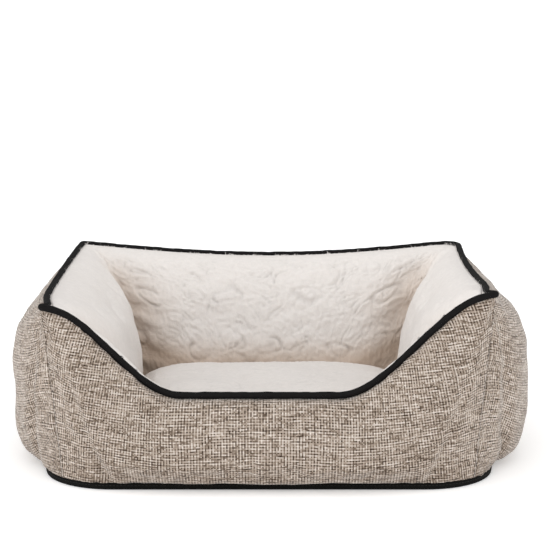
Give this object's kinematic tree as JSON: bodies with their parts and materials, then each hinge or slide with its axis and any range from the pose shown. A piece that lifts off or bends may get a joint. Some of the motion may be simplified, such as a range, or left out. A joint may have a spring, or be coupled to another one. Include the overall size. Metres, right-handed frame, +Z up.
{
  "type": "pet bed",
  "caption": "Rectangular bolster pet bed with stuffed walls, a low front entry, black rim piping and a zipped lift-out plush cushion.",
  "frame": {"origin": "on the floor under the middle of the bed's bounding box", "axes": "+X to the right seen from the front, along the long side; +Y to the rear, so the low entry faces -Y; +Z up"},
  "size_m": [0.64, 0.512, 0.2402],
  "materials": {
    "weave": "matte",
    "plush": "matte",
    "stuffing": "matte",
    "piping": "matte",
    "base_fabric": "matte",
    "lining": "matte",
    "zip_tape": "matte",
    "zip_coil": "satin",
    "zip_metal": "satin"
  },
  "bodies": {
    "bed": {"base_panel": "base_fabric", "base_binding": "base_fabric", "base_pad": "stuffing", "floor_liner": "lining", "outer_front_panel": "weave", "outer_right_panel": "weave", "outer_rear_panel": "weave", "outer_left_panel": "weave", "plush_front_panel": "plush", "plush_right_panel": "plush", "plush_rear_panel": "plush", "plush_left_panel": "plush", "front_wall_fill": "stuffing", "right_wall_fill": "stuffing", "rear_wall_fill": "stuffing", "left_wall_fill": "stuffing", "rim_piping": "piping", "rim_piping_cord": "stuffing"},
    "cushion": {"cushion_top_panel": "plush", "cushion_bottom_panel": "lining", "cushion_side_band": "lining", "cushion_fill": "stuffing", "zip_tape_upper": "zip_tape", "zip_tape_lower": "zip_tape", "zip_coil_upper": "zip_coil", "zip_coil_lower": "zip_coil", "zip_end_stops": "zip_metal"},
    "slider": {"zip_slider": "zip_metal"},
    "pull_tab": {"zip_pull_tab": "zip_metal"}
  },
  "joints": [
    {"name": "cushion_lift", "type": "slide", "parent": "bed", "child": "cushion", "axis": [0, 0, 1], "range_m": [0, 0.25]},
    {"name": "zip_slide", "type": "slide", "parent": "cushion", "child": "slider", "axis": [-1, 0, 0], "range_m": [0, 0.2574]},
    {"name": "pull_tab_swing", "type": "hinge", "parent": "slider", "child": "pull_tab", "pos_m": [0.1256, 0.1223, 0.0265], "axis": [0, 0, -1], "range_deg": [0, 90]}
  ]
}
